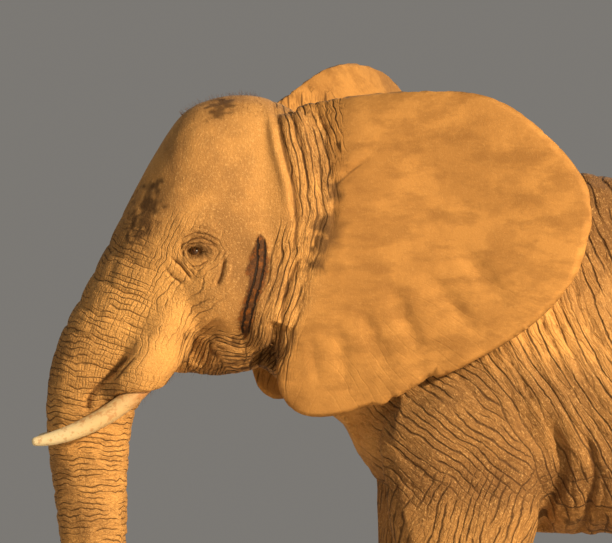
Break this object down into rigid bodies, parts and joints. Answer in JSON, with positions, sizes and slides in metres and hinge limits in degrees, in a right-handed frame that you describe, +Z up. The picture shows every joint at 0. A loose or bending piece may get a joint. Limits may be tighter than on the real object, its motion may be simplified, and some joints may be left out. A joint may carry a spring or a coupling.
{
  "type": "african elephant",
  "caption": "Life-size adult cow African elephant, standing in mid stride with its trunk hanging, one ear laid back and the other spread.",
  "frame": {"origin": "on the floor, under the middle of the bounding box", "axes": "+Z up, -Y the way the elephant faces, +X to its left side"},
  "size_m": [1.762, 3.5548, 2.936],
  "materials": {
    "skin": "dry wrinkled hide, dusted with ochre soil",
    "ivory": "smooth worn ivory, satin",
    "nail": "dull scuffed horn",
    "eye": "wet and glossy",
    "hair": "coarse stiff hair"
  },
  "bodies": {
    "root": {"belly": "skin", "ear_left": "skin", "ear_right": "skin", "eye_left": "eye", "eye_right": "eye", "forefoot_left": "skin", "forefoot_right": "skin", "foreleg_lower_left": "skin", "foreleg_lower_right": "skin", "foreleg_upper_left": "skin", "foreleg_upper_right": "skin", "head": "skin", "hindfoot_left": "skin", "hindfoot_right": "skin", "hindleg_lower_left": "skin", "hindleg_lower_right": "skin", "hindleg_upper_left": "skin", "hindleg_upper_right": "skin", "hindquarters": "skin", "lower_jaw": "skin", "neck": "skin", "shoulders": "skin", "tail": "skin", "tail_tuft": "hair", "toenail_fore_left_1": "nail", "toenail_fore_left_2": "nail", "toenail_fore_left_3": "nail", "toenail_fore_left_4": "nail", "toenail_fore_right_1": "nail", "toenail_fore_right_2": "nail", "toenail_fore_right_3": "nail", "toenail_fore_right_4": "nail", "toenail_hind_left_1": "nail", "toenail_hind_left_2": "nail", "toenail_hind_left_3": "nail", "toenail_hind_right_1": "nail", "toenail_hind_right_2": "nail", "toenail_hind_right_3": "nail", "trunk_lower": "skin", "trunk_middle": "skin", "trunk_root": "skin", "trunk_tip": "skin", "trunk_upper": "skin", "tusk_left": "ivory", "tusk_right": "ivory"}
  },
  "joints": []
}
